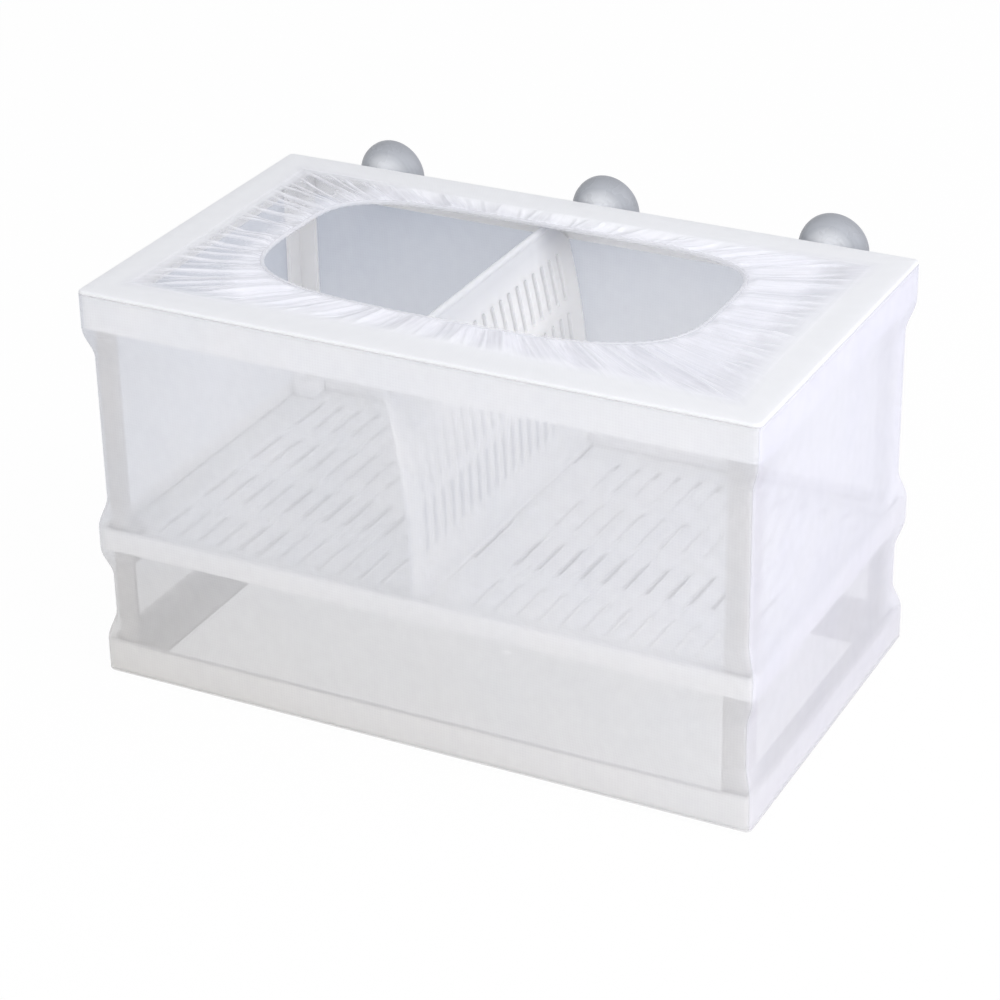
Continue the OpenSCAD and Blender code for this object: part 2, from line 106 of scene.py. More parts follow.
# Its broad folds: how many a long and a short side have, and how deep they are.
LONG_FOLDS, SHORT_FOLDS = 11, 7
STEPS_PER_FOLD = 36
FOLD_DEPTH = 0.002
FOLDS_DEEP_AT = 1 / 2.2
TUCKED_FOLD = 0.75

# Smooth noise that sways the folds, and makes the folds and the gathers uneven in height.
Unevenness = namedtuple("Unevenness", "size scale_along scale_inwards seed")
FOLD_SWAY = Unevenness(0.12, 33, 2.5, 3.0)
FOLD_UNEVEN, FOLD_MEAN = Unevenness(0.5, 45, 0.0, 9.0), 0.75
GATHER_UNEVEN, GATHER_LEAST = Unevenness(1.0, 27, 1.5, 4.0), 0.4

# Its narrow gathers, of which one group starts at the flange and the other further in.
GATHER_SEED = 11
GATHER_PLACE = (0.15, 0.85)
GATHER_LEAN = 0.0035
GATHER_GROWTH = 0.25
GATHER_GROUPS = (
    {"count": 105, "half_width": (0.0013, 0.0022), "height": (0.0005, 0.0011), "start": (0.0, 0.1)},
    {"count": 170, "half_width": (0.0007, 0.0011), "height": (0.0003, 0.0007), "start": (0.5, 0.8)},
)

# How densely the top's net is drawn together, from 0 to 1. At the left end, and less so at the
# right, fewer gathers leave clear net between them. A pair is for the close and for the clear net.
FLANGE_DENSITY, CLEAR_FLANGE_DENSITY, FLANGE_FADE = 0.95, 0.6, 0.22
HEM_DENSITY = (0.30, 0.56)
THREAD_DENSITY, THREAD_FADE = (0.15, 1.10), 0.5
DRAWN_UP_START, DRAWN_UP_WIDTH = (0.0, 0.55), 0.42
# From which x to which x the net turns clear.
LEFT_CLEAR = (-0.066, -0.092)
RIGHT_CLEAR = (0.088, 0.108)
RIGHT_CLEAR_SHARE = 0.6

Wall = namedtuple("Wall", "side quarter half_length half_depth folds")
WALLS = (
    Wall("front", 0, RIGHT, REAR, LONG_FOLDS),
    Wall("right", 1, REAR, RIGHT, SHORT_FOLDS),
    Wall("rear", 2, RIGHT, REAR, LONG_FOLDS),
    Wall("left", 3, REAR, RIGHT, SHORT_FOLDS),
)
Column = namedtuple("Column", "wall step steps flange_edge")
Gather = namedtuple("Gather", "at half_width height start lean")

# Colours of the net and the plastics. A painted-shade colour is for where a piece is darkened as if it lay in
# shade.
NET_PALE, NET_BRIGHT, NET_PAINTED_SHADE = (0.925, 0.935, 0.965), (0.955, 0.955, 0.975), (0.86, 0.845, 0.82)
# The right net's colours are a painted glare of the key lamp.
RIGHT_NET_GLARE_PALE, RIGHT_NET_GLARE_BRIGHT = (0.915, 0.915, 0.985), (0.935, 0.935, 0.99)
# The top net is greyer over its gathers, a painted shade, and whiter on the flange, a painted light.
TOP_NET_SHADED_PALE, TOP_NET_SHADED_BRIGHT = (0.90, 0.905, 0.94), (0.925, 0.925, 0.955)
TOP_NET_FLANGE_LIT = (0.975, 0.98, 0.99)
FRAME_PALE, FRAME_SHADE, FRAME_PAINTED_SHADE = (0.86, 0.86, 0.865), (0.83, 0.835, 0.845), (0.82, 0.815, 0.81)
PLATE_PALE, PLATE_SHADE, PLATE_PAINTED_SHADE = (0.95, 0.95, 0.955), (0.91, 0.915, 0.925), (0.80, 0.81, 0.83)
DIVIDER_PALE, DIVIDER_SHADE = (0.95, 0.95, 0.955), (0.92, 0.925, 0.935)
DIVIDER_PAINTED_SHADE, SLOT_PAINTED_SHADE = (0.62, 0.63, 0.65), (0.58, 0.59, 0.61)
# The posts' colours are paler than the frame's, a painted light.
POST_PALE, POST_SHADE, POST_PAINTED_SHADE = (0.93, 0.93, 0.935), (0.90, 0.90, 0.91), (0.55, 0.54, 0.53)
CUP_PALE, CUP_SHADE = (0.46, 0.48, 0.515), (0.42, 0.437, 0.467)
CUP_MILKY_HIGHLIGHT, CUP_RIM = (0.95, 0.965, 0.99), (0.30, 0.31, 0.335)

# The stage.
WHITE = (1.0, 1.0, 1.0)
ROOM_LIGHT, AMBIENT = (0.95, 0.965, 1.0), 0.62
FLOOR_COLOUR, FLOOR_REACH, FLOOR_DROP = (0.88, 0.87, 0.86), 6.0, 0.0004
FLOOR_SHADED_FAR, FLOOR_LIT_NEAR = (0.30, 0.36, 0.48), (0.95, 0.95, 0.96)
KEY_LAMP = {"place": (1.35, -0.15, 1.15), "size": 1.4, "watts": 18.5, "colour": (0.975, 0.965, 1.0)}
FILL_LAMP = {"place": (0.3, -1.3, 0.85), "size": 1.3, "watts": 8.0, "colour": (1.0, 0.985, 0.965)}
LAMPS_AIM = Vector((0, 0, 0.07))


def ease(t):
    """A smooth step: 0 at 0, 1 at 1, and level at both."""
    return t * t * (3 - 2 * t)


def ramp(value, start, end):
    """A smooth step from 0 where the value is at the start to 1 where it is at the end."""
    return ease(min(1.0, max(0.0, (value - start) / (end - start))))


def between(pair, share):
    """The number a share of the way from the first of a pair to the second."""
    return pair[0] + (pair[1] - pair[0]) * share


def drift(x, y, z):
    """Smooth noise that is about -1 to 1."""
    return noise.noise(Vector((x, y, z)))


# Meshes

def grid_normals(points, wrap):
    """Outward normals of a grid of points, whose first axis goes up or in and whose second goes round."""
    if wrap:
        along = np.roll(points, -1, 1) - np.roll(points, 1, 1)
    else:
        along = np.gradient(points, axis=1)
    across = np.gradient(points, axis=0)
    normals = np.cross(along, across)
    shortest = 1e-12
    return normals / np.maximum(np.linalg.norm(normals, axis=2, keepdims=True), shortest)


def finish_mesh(name, mesh, material):
    mesh.update()
    mesh.shade_smooth()
    mesh.materials.append(material)
    obj = bpy.data.objects.new(name, mesh)
    bpy.context.scene.collection.objects.link(obj)
    return obj


def sheet_object(name, outer, material, wrap=False, density=None):
    """A closed thin sheet behind a grid of outer points, with a UV map in metres along the cloth.

    Its faces are the outer and inner sides, the first and last rows' edges, and the end columns' edges."""
    rows, columns = outer.shape[:2]
    inner = outer - grid_normals(outer, wrap) * NET_THICKNESS
    count = rows * columns
    span = columns if wrap else columns - 1
    faces, corners = [], []

    def quad(a, b, c, d, flip):
        order = (d, c, b, a) if flip else (a, b, c, d)
        faces.append([(i * columns + j % columns) + side * count for side, i, j in order])
        corners.extend((i, j) for _, i, j in order)

    for i in range(rows - 1):
        for j in range(span):
            for side in (0, 1):
                quad((side, i, j), (side, i, j + 1), (side, i + 1, j + 1), (side, i + 1, j), side == 1)
    for i, flip in ((0, True), (rows - 1, False)):
        for j in range(span):
            quad((0, i, j), (0, i, j + 1), (1, i, j + 1), (1, i, j), flip)
    if not wrap:
        for j, flip in ((0, False), (columns - 1, True)):
            for i in range(rows - 1):
                quad((0, i, j), (0, i + 1, j), (1, i + 1, j), (1, i, j), flip)
    mesh = bpy.data.meshes.new(name)
    mesh.from_pydata(np.concatenate([outer.reshape(-1, 3), inner.reshape(-1, 3)]).tolist(), [], faces)
    ring = np.concatenate([outer, outer[:, :1]], 1) if wrap else outer
    u = np.concatenate([np.zeros((rows, 1)), np.linalg.norm(np.diff(ring, axis=1), axis=2).cumsum(1)], 1)
    u = np.broadcast_to(u.mean(0), u.shape)
    v = np.concatenate([np.zeros((1, columns)), np.linalg.norm(np.diff(outer, axis=0), axis=2).cumsum(0)], 0)
    layer = mesh.uv_layers.new(name="cloth")
    layer.data.foreach_set("uv", np.array([(u[i, j], v[i, j % columns]) for i, j in corners]).ravel())
    if density is not None:
        attribute = mesh.attributes.new("gathering", "FLOAT", "POINT")
        attribute.data.foreach_set("value", np.concatenate([density.ravel()] * 2).astype(np.float32))
    return finish_mesh(name, mesh, material)


# Node trees

class Nodes:
    """Short names for building the node tree of a material or the world. A colour has three numbers."""

    def __init__(self, owner):
        owner.use_nodes = True
        self.tree = owner.node_tree
        self.shader = self.tree.nodes.get("Principled BSDF")

    def add(self, kind, **settings):
        made = self.tree.nodes.new("ShaderNode" + kind)
        for key, value in settings.items():
            setattr(made, key, value)
        return made

    def feed(self, socket, value):
        if isinstance(value, bpy.types.NodeSocket):
            self.tree.links.new(value, socket)
        elif socket.type == "RGBA":
            socket.default_value = (*value, 1.0)
        else:
            socket.default_value = value

    def made_from(self, made, *values):
        """The first output of a node, whose inputs are fed in their order."""
        for socket, value in zip(made.inputs, values):
            self.feed(socket, value)
        return made.outputs[0]

    def math(self, operation, a, b=0.0):
        return self.made_from(self.add("Math", operation=operation), a, b)

    def remap(self, value, low, high, to_low=0.0, to_high=1.0):
        return self.made_from(self.add("MapRange"), value, low, high, to_low, to_high)

    def mix(self, factor, a, b):
        """A mix of colours, whose sockets on the node come after those for numbers and directions."""
        made = self.add("Mix", data_type="RGBA")
        self.feed(made.inputs[0], factor)
        self.feed(made.inputs[6], a)
        self.feed(made.inputs[7], b)
        return made.outputs[2]

    def mix_shaders(self, factor, a, b):
        return self.made_from(self.add("MixShader"), factor, a, b)

    def split(self, vector):
        made = self.add("SeparateXYZ")
        self.feed(made.inputs[0], vector)
        return made.outputs

    def noise(self, vector, scale, detail=2.0):
        made = self.add("TexNoise")
        self.feed(made.inputs["Vector"], vector)
        self.feed(made.inputs["Scale"], scale)
        self.feed(made.inputs["Detail"], detail)
        return made.outputs[0]

    def spread(self, value, to_low=0.0, to_high=1.0):
        """The middle part of a noise, spread between two numbers."""
        return self.remap(value, 0.3, 0.7, to_low, to_high)

    def scaled(self, vector, scale):
        made = self.add("Mapping")
        self.feed(made.inputs["Vector"], vector)
        self.feed(made.inputs["Scale"], scale)
        return made.outputs[0]

    def bump(self, height, strength, distance):
        made = self.add("Bump")
        self.feed(made.inputs["Strength"], strength)
        self.feed(made.inputs["Distance"], distance)
        self.feed(made.inputs["Height"], height)
        self.feed(self.shader.inputs["Normal"], made.outputs[0])

    def place(self):
        return self.add("TexCoord").outputs["Object"]

    def low_left_painted_shade(self):
        """How far down and to the left a place on the box is, where the net is darkened and warmed by painted
        shade.
        """
        shade_height = 0.075
        at_left, at_right = 0.9, 0.25
        x, _, z = self.split(self.place())
        low = self.remap(z, 0.0, shade_height, 1.0, 0.0)
        return self.math("MULTIPLY", low, self.remap(x, -RIGHT, RIGHT, at_left, at_right))

    def set(self, **values):
        """Feed the shader's inputs by name, with underscores for spaces."""
        for key, value in values.items():
            self.feed(self.shader.inputs[key.replace("_", " ")], value)

    def show(self, shader):
        self.feed(self.tree.nodes["Material Output"].inputs[0], shader)


def net_material(name, cover, pale=NET_PALE, bright=NET_BRIGHT, gathered=False):
    """Fine white mesh. Cover is how much of what is behind one face of the net it hides.

    Where the net is gathered, it hides more and turns from the flange's white, a painted light, to its own
    colour, which for the top is greyed by painted shade."""
    pitch = 0.0011
    cloud_scale, slub_scale, streak_scale = 40.0, (190.0, 130.0, 1.0), (600.0, 30.0, 1.0)
    weave_swing, slub_swing, streak_swing = 0.008, 0.01, 0.2
    drawn_in_over = 0.012
    density_cover = 0.75
    passed_through = 0.3
    material = bpy.data.materials.new(name)
    n = Nodes(material)
    uv = n.add("UVMap", uv_map="cloth").outputs[0]
    along, inwards, _ = n.split(uv)
    threads = [
        n.math("ABSOLUTE", n.math("SINE", n.math("MULTIPLY", way, math.pi / pitch)))
        for way in (along, inwards)
    ]
    weave = n.math("MULTIPLY", *threads)
    cloud = n.spread(n.noise(n.place(), cloud_scale, 3.0))
    slub = n.spread(n.noise(n.scaled(uv, slub_scale), 1.0, 3.0), -slub_swing, slub_swing)
    alpha = n.math("ADD", n.remap(weave, 0.0, 1.0, cover + weave_swing, cover - weave_swing), slub)
    colour = n.mix(cloud, pale, bright)
    if gathered:
        density = n.add("Attribute", attribute_name="gathering").outputs["Fac"]
        drawn_in = n.remap(inwards, FLANGE_WIDTH, FLANGE_WIDTH + drawn_in_over)
        # Painted light: the net on the flat flange is whiter than over the gathers.
        colour = n.mix(drawn_in, TOP_NET_FLANGE_LIT, colour)
        streaks = n.spread(n.noise(n.scaled(uv, streak_scale), 1.0), 0.0, streak_swing)
        share = n.math("SUBTRACT", 1.0, n.math("MULTIPLY", streaks, drawn_in))
        denser = n.math("MULTIPLY", n.math("MULTIPLY", density, share), density_cover)
        alpha = n.math("ADD", alpha, denser)
    alpha = n.math("MINIMUM", alpha, 1.0)
    # Painted shade: the net turns darker and warmer low down and to the left.
    colour = n.mix(n.low_left_painted_shade(), colour, NET_PAINTED_SHADE)
    n.set(Base_Color=colour, Roughness=n.remap(weave, 0.0, 1.0, 0.6, 0.75),
          Sheen_Weight=0.1, Sheen_Roughness=0.5, Specular_IOR_Level=0.25)
    n.bump(weave, 0.06, 0.0001)
    through = n.add("BsdfTranslucent")
    n.feed(through.inputs[0], colour)
    lit = n.mix_shaders(passed_through, n.shader.outputs[0], through.outputs[0])
    n.show(n.mix_shaders(alpha, n.add("BsdfTransparent").outputs[0], lit))
    return material


def plastic_material(name, pale, shade, roughness, grain, milky, painted_shade=None, shaded_slot_walls=None):
    """Moulded white plastic with a faint flow pattern and a fine grain. Milky is how much light goes in.

    The painted-shade argument is an axis, the two places along it between which the plastic is darkened by
    painted shade, and the shade's colour.
    The slot-wall argument is the two heights between which the walls of the slots are darkened by painted
    shade, and the shade's colour."""
    flow_scale, grain_scale = (18.0, 18.0, 40.0), 900.0
    roughness_swing = 0.06
    side_on_from, side_on_to = 0.75, 0.45
    material = bpy.data.materials.new(name)
    n = Nodes(material)
    place = n.place()
    flow = n.spread(n.noise(n.scaled(place, flow_scale), 1.0, 3.0))
    fine = n.noise(place, grain_scale)
    colour = n.mix(flow, shade, pale)
    if painted_shade:
        # Painted shade: the colour darkens along the axis from the first place to the second.
        axis, start, end, shade_colour = painted_shade
        colour = n.mix(n.remap(n.split(place)[axis], start, end), colour, shade_colour)
    if shaded_slot_walls:
        start, end, slot_shade = shaded_slot_walls
        # Painted shade in the slots: faces that don't face along x, the slots' walls, darken low down.
        facing_x = n.math("ABSOLUTE", n.split(n.add("TexCoord").outputs["Normal"])[0])
        side_on = n.remap(facing_x, side_on_from, side_on_to)
        low = n.remap(n.split(place)[2], start, end)
        colour = n.mix(n.math("MULTIPLY", side_on, low), colour, slot_shade)
    n.set(Base_Color=colour,
          Roughness=n.spread(fine, roughness - roughness_swing, roughness + roughness_swing),
          Subsurface_Weight=milky, Subsurface_Radius=(1.0, 1.0, 1.1), Subsurface_Scale=0.006)
    n.bump(fine, grain, 0.00005)
    return material


def cup_material():
    """Soft grey vinyl, milky where the neck and boss are thick and whitened there by a painted highlight, and
    darker towards the rim.
    """
    cloud_scale, grain_scale = 120.0, 500.0
    milky_highlight_radius, grey_radius = 0.0045, 0.0105
    rim_start, rim_radius, rim_share = 0.0110, 0.0135, 0.7
    material = bpy.data.materials.new("cup_vinyl")
    n = Nodes(material)
    place = n.place()
    x, _, z = n.split(place)
    middle_low, middle_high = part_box("suction_cup_middle")
    half_pitch = (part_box("suction_cup_right")[0].x - middle_low.x) / 2
    from_middle = n.math("SUBTRACT", x, (middle_low.x + middle_high.x) / 2)
    across = n.made_from(n.add("Math", operation="WRAP"), from_middle, half_pitch, -half_pitch)
    up = n.math("SUBTRACT", z, (middle_low.z + middle_high.z) / 2)
    squares = [n.math("MULTIPLY", way, way) for way in (across, up)]
    radius = n.math("SQRT", n.math("ADD", *squares))
    cloud = n.spread(n.noise(place, cloud_scale))
    grey = n.mix(cloud, CUP_SHADE, CUP_PALE)
    # Painted highlight: the milky white round the neck is partly the vinyl's thickness and partly a
    # highlight.
    colour = n.mix(n.remap(radius, milky_highlight_radius, grey_radius), CUP_MILKY_HIGHLIGHT, grey)
    colour = n.mix(n.remap(radius, rim_start, rim_radius, 0.0, rim_share), colour, CUP_RIM)
    n.set(Base_Color=colour, Roughness=n.remap(cloud, 0.0, 1.0, 0.24, 0.34),
          Transmission_Weight=0.08, IOR=1.35, Specular_IOR_Level=0.35)
    n.bump(n.noise(place, grain_scale), 0.1, 0.00005)
    return material


# Cloth

def along_wall(wall):
    """Places along a wall from corner to corner, as the front has them: x, y, and the outward direction."""
    centre_x, centre_y = wall.half_length - CORNER_RADIUS, CORNER_RADIUS - wall.half_depth
    eighth = np.radians(np.linspace(0, 45, CORNER_STEPS + 1))
    straight_steps = round(2 * wall.half_length / WALL_COLUMN)

    def corner(x, start):
        ways = [(math.cos(angle), math.sin(angle)) for angle in eighth + math.radians(start)]
        return [(x + CORNER_RADIUS * nx, centre_y + CORNER_RADIUS * ny, nx, ny) for nx, ny in ways]

    straight = np.linspace(-centre_x, centre_x, straight_steps + 1)[1:-1]
    middle = [(x, -wall.half_depth, 0.0, -1.0) for x in straight]
    return corner(-centre_x, 225) + middle + corner(centre_x, 270)


def wall_levels():
    """Heights of a wall's rows, with a row at each place where the net leaves a ring."""
    stops = [EDGE_RADIUS]
    for low, high in BAYS:
        stops += [low, low + RUN_IN, high - RUN_IN, high]
    stops.append(TOP - EDGE_RADIUS)
    levels = stops[:1]
    for start, end in zip(stops, stops[1:]):
        steps = max(1, round((end - start) / WALL_ROW))
        levels += list(np.linspace(start, end, steps + 1)[1:])
    return levels


def dip_at(z):
    """How far the posts let the net run in at height z, the bay's height, and how far up the bay z is."""
    for low, high in BAYS:
        if low < z < high:
            height = high - low
            return POST_INSET * ramp(min(z - low, high - z), 0.0, RUN_IN), height, (z - low) / height
    return 0.0, TOP, 0.0


def wall_grid(wall):
    """The outer side of a wall's net, drawn in towards the posts, and slack by tenths of a millimetre."""
    places = along_wall(wall)
    corner_start = wall.half_length - CORNER_RADIUS
    rows = []
    for z in wall_levels():
        dip, bay_height, up = dip_at(z)
        row = []
        for x, y, nx, ny in places:
            from_post = max(0.0, corner_start - abs(x))
            fade = math.exp(-math.pi * from_post / bay_height)
            sideways = dip * max(-1.0, min(1.0, x / corner_start))
            free = math.sin(math.pi * up) * min(1.0, from_post / FREE_WIDTH)
            slack = SLACK * drift(x * SLACK_SCALE[0], z * SLACK_SCALE[1], wall.quarter * WALL_SEED)
            slack += RIPPLE * fade * math.sin((z - RIPPLE_SLOPE * from_post) * 2 * math.pi / RIPPLE_LENGTH)
            row.append((x - sideways + nx * free * slack, y + dip * fade + ny * free * slack, z))
        rows.append(row)
    return turned(np.array(rows), wall.quarter)


def turned(points, quarter):
    """Points turned about the box's axis by a number of quarter turns."""
    c, s = (1, 0, -1, 0)[quarter], (0, 1, 0, -1)[quarter]
    x, y, z = points[..., 0], points[..., 1], points[..., 2]
    return np.stack([c * x - s * y, s * x + c * y, z], -1)


def turned_flat(p, quarter):
    """The same for a point in plan."""
    return Vector(((p.x, p.y), (-p.y, p.x), (-p.x, -p.y), (p.y, -p.x))[quarter])


def cut_neck_holes(obj):
    """Holes in the rear net, each with a little air round a suction cup's neck."""
    for cup in ("left", "middle", "right"):
        low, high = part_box(f"suction_cup_{cup}")
        bpy.ops.mesh.primitive_cylinder_add(
            radius=NECK_HOLE_RADIUS, depth=NECK_HOLE_DEPTH, vertices=32, rotation=(math.pi / 2, 0, 0),
            location=((low.x + high.x) / 2, REAR, (low.z + high.z) / 2))
        cutter = bpy.context.object
        cut = obj.modifiers.new("hole", "BOOLEAN")
        cut.object, cut.operation, cut.solver = cutter, "DIFFERENCE", "EXACT"
        bpy.context.view_layer.objects.active = obj
        bpy.ops.object.modifier_apply(modifier=cut.name)
        bpy.data.objects.remove(cutter)


def make_wall(wall, material):
    obj = sheet_object(f"cloth_{wall.side}", wall_grid(wall), material)
    if wall.side == "rear":
        cut_neck_holes(obj)
    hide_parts(f"net_{wall.side}")
    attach(obj, "box")


def outline(wall, step, steps, inset):
    """The box's outline in plan at a step along a wall, with half a corner at each end of the wall."""
    centre_x, centre_y = wall.half_length - CORNER_RADIUS, wall.half_depth - CORNER_RADIUS
    radius = CORNER_RADIUS - inset
    from_end = min(step, steps - step)
    if from_end <= CORNER_STEPS:
        side = -1 if 2 * step < steps else 1
        angle = math.radians(45 * (1 - from_end / CORNER_STEPS))
        p = Vector((side * (centre_x + radius * math.sin(angle)), -centre_y - radius * math.cos(angle)))
    else:
        share = (step - CORNER_STEPS) / (steps - 2 * CORNER_STEPS)
        p = Vector((centre_x * (2 * share - 1), -centre_y - radius))
    return turned_flat(p, wall.quarter)


def mouth_point(p):
    """The point of the hem's centre line that lies towards p."""
    power = FRONT_SQUARE if p.y < MOUTH_Y else REAR_SQUARE
    u, v = (p.x - MOUTH_X) / MOUTH_HALF.x, (p.y - MOUTH_Y) / MOUTH_HALF.y
    size = (abs(u) ** power + abs(v) ** power) ** (1 / power)
    return Vector((MOUTH_X + (p.x - MOUTH_X) / size, MOUTH_Y + (p.y - MOUTH_Y) / size))


def make_gathers():
    """Narrow gathers round the top: where each lies, its form, how far in it starts and its lean."""
    source = random.Random(GATHER_SEED)
    return [
        Gather((k + source.uniform(*GATHER_PLACE)) / group["count"], source.uniform(*group["half_width"]),
               source.uniform(*group["height"]), source.uniform(*group["start"]),
               source.uniform(-GATHER_LEAN, GATHER_LEAN))
        for group in GATHER_GROUPS for k in range(group["count"])
    ]


def gathered_at(gathers, total, share):
    """How high the gathers are, and how much net they hold, along the row a share of the way in."""
    ridge, thread = np.zeros(total), np.zeros(total)
    for gather in gathers:
        centre = gather.at * total + gather.lean * share / COLUMN_WIDTH
        reach = math.ceil(gather.half_width / COLUMN_WIDTH)
        grown = ramp(share, gather.start, gather.start + GATHER_GROWTH)
        for k in range(round(centre) - reach, round(centre) + reach + 1):
            near = ramp(abs(k - centre) * COLUMN_WIDTH, gather.half_width, 0.0) * grown
            ridge[k % total] = max(ridge[k % total], near * gather.height)
            thread[k % total] = max(thread[k % total], near)
    return ridge, thread


def density_at(x, share, thread):
    """How densely the net is drawn together at x, a share of the way in. Thread is what the gathers hold."""
    clear = max(ramp(x, *LEFT_CLEAR), RIGHT_CLEAR_SHARE * ramp(x, *RIGHT_CLEAR))
    at_flange = CLEAR_FLANGE_DENSITY * clear * (1 - ramp(share, 0.0, FLANGE_FADE))
    start = between(DRAWN_UP_START, clear)
    drawn_up = ramp(share, start, start + DRAWN_UP_WIDTH)
    base = FLANGE_DENSITY * (1 - clear) + at_flange + between(HEM_DENSITY, clear) * drawn_up
    return min(1.0, base + between(THREAD_DENSITY, clear) * thread * (1 - THREAD_FADE * share))


def top_columns():
    """The columns of the top's net, which go round the box from the front's left end."""
    columns = []
    for wall in WALLS:
        steps = wall.folds * STEPS_PER_FOLD
        half = OPENING_HALF if wall.quarter % 2 == 0 else Vector((OPENING_HALF.y, OPENING_HALF.x))
        for step in range(steps):
            edge = Vector((half.x * (2 * step / steps - 1), -half.y))
            columns.append(Column(wall, step, steps, turned_flat(edge, wall.quarter)))
    return columns


def gathered_row(columns, gathers, share):
    """The points of the row a share of the way in, and how densely the net is gathered at each."""
    tuck = ramp(share, TUCK_START, 1.0)
    deep = FOLD_DEPTH * ramp(share, 0.0, FOLDS_DEEP_AT) * (1 - TUCKED_FOLD * tuck)
    ridge, thread = gathered_at(gathers, len(columns), share)
    points, density = [], []
    for k, column in enumerate(columns):
        p = column.flange_edge.lerp(mouth_point(column.flange_edge), share)
        sway, uneven, high = (
            size * drift(k * COLUMN_WIDTH * scale_along, share * scale_inwards, seed)
            for size, scale_along, scale_inwards, seed in (FOLD_SWAY, FOLD_UNEVEN, GATHER_UNEVEN)
        )
        fold = (1 - math.cos(2 * math.pi * (column.step / STEPS_PER_FOLD + sway * share))) / 2
        z = TOP - SINK * share - deep * (FOLD_MEAN + uneven) * fold
        z += ridge[k] * (GATHER_LEAST + abs(high)) * (1 - tuck)
        z += (HEM_Z + HEM_COVER - z) * tuck
        points.append((p.x, p.y, z))
        density.append(density_at(p.x, share, thread[k]))
    return points, density


def top_grid():
    """The net over the top: round the box's edge, flat on the flanges, then gathered to the hem.

    It returns the points, and how densely the net is gathered at each of them."""
    columns = top_columns()
    gathers = make_gathers()
    flat_rows = []
    for angle in EDGE_ANGLES:
        inset, down = EDGE_RADIUS * (1 - math.cos(angle)), EDGE_RADIUS * (1 - math.sin(angle))
        flat_rows.append([(*outline(c.wall, c.step, c.steps, inset), TOP - down) for c in columns])
    for i in range(1, FLANGE_ROWS + 1):
        across = i / FLANGE_ROWS
        made = [outline(c.wall, c.step, c.steps, EDGE_RADIUS).lerp(c.flange_edge, across) for c in columns]
        flat_rows.append([(*p, TOP) for p in made])
    flat_density = [[FLANGE_DENSITY] * len(columns)] * len(flat_rows)
    made = [gathered_row(columns, gathers, i / GATHER_ROWS) for i in range(1, GATHER_ROWS + 1)]
    points, density = zip(*made)
    return np.array(flat_rows + list(points)), np.array(flat_density + list(density))


def make_top(material):
    grid, density = top_grid()
    top = sheet_object("cloth_top", grid, material, wrap=True, density=density)
    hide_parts("collar_front", "collar_rear", "collar_left", "collar_right")
    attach(top, "box")


def make_bottom(material):
    """The underside's net, with its edge turned up round the bottom ring."""
    steps, inner_rows, shrunk = 96, 25, 0.985
    front, right, rear, left = WALLS
    rows = []
    for angle in EDGE_ANGLES:
        inset, up = EDGE_RADIUS * (1 - math.cos(angle)), EDGE_RADIUS * (1 - math.sin(angle))
        rows.append([(*outline(wall, step, steps, inset), up)
                     for wall in (front, left, rear, right) for step in range(steps, 0, -1)])
    edge = rows[-1]
    for share in np.linspace(0, 1, inner_rows + 1)[1:]:
        kept = 1 - shrunk * share
        rows.append([(x * kept, y * kept, 0.0) for x, y, _ in edge])
    bottom = sheet_object("cloth_bottom", np.array(rows), material, wrap=True)
    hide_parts("net_bottom")
    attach(bottom, "box")


def make_hem(material):
    """The elastic hem: a casing drawn up in small gathers round the mouth."""
    puff_scale, lift_scale = 90, 60
    way_round = np.linspace(0, 2 * math.pi, HEM_RINGS, endpoint=False)
    outside = [2 * Vector((MOUTH_HALF.x * math.cos(a), MOUTH_HALF.y * math.sin(a))) for a in way_round]
    line = [mouth_point(Vector((MOUTH_X + p.x, MOUTH_Y + p.y))) for p in outside]
    points = []
    travelled = 0.0
    for i, p in enumerate(line):
        following = line[(i + 1) % HEM_RINGS]
        ahead = (following - line[i - 1]).normalized()
        travelled += (following - p).length
        unevenly = 1.5 * drift(travelled * puff_scale, 0, 5)
        puff = abs(math.sin(travelled * math.pi / HEM_GATHER_LENGTH + unevenly))
        radius = HEM_RADIUS * (HEM_THIN + HEM_PUFF * puff)
        lift = HEM_LIFT * drift(travelled * lift_scale, 2, 0)
        for k in range(HEM_SIDES):
            angle = 2 * math.pi * k / HEM_SIDES
            out = radius * math.cos(angle)
            points.append((p.x + out * ahead.y, p.y - out * ahead.x, HEM_Z + lift + radius * math.sin(angle)))
    step_u, step_v = travelled / HEM_RINGS, 2 * math.pi * HEM_RADIUS / HEM_SIDES
    faces, uv = [], []
    for i in range(HEM_RINGS):
        for k in range(HEM_SIDES):
            corners = ((i, k), (i, k + 1), (i + 1, k + 1), (i + 1, k))
            faces.append([a % HEM_RINGS * HEM_SIDES + b % HEM_SIDES for a, b in corners])
            uv += [number for a, b in corners for number in (a * step_u, b * step_v)]
    mesh = bpy.data.meshes.new("hem")
    mesh.from_pydata(points, [], faces)
    mesh.uv_layers.new(name="cloth").data.foreach_set("uv", uv)
    hem = finish_mesh("hem", mesh, material)
    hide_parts("elastic_hem")
    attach(hem, "box")
    return hem


# Stage

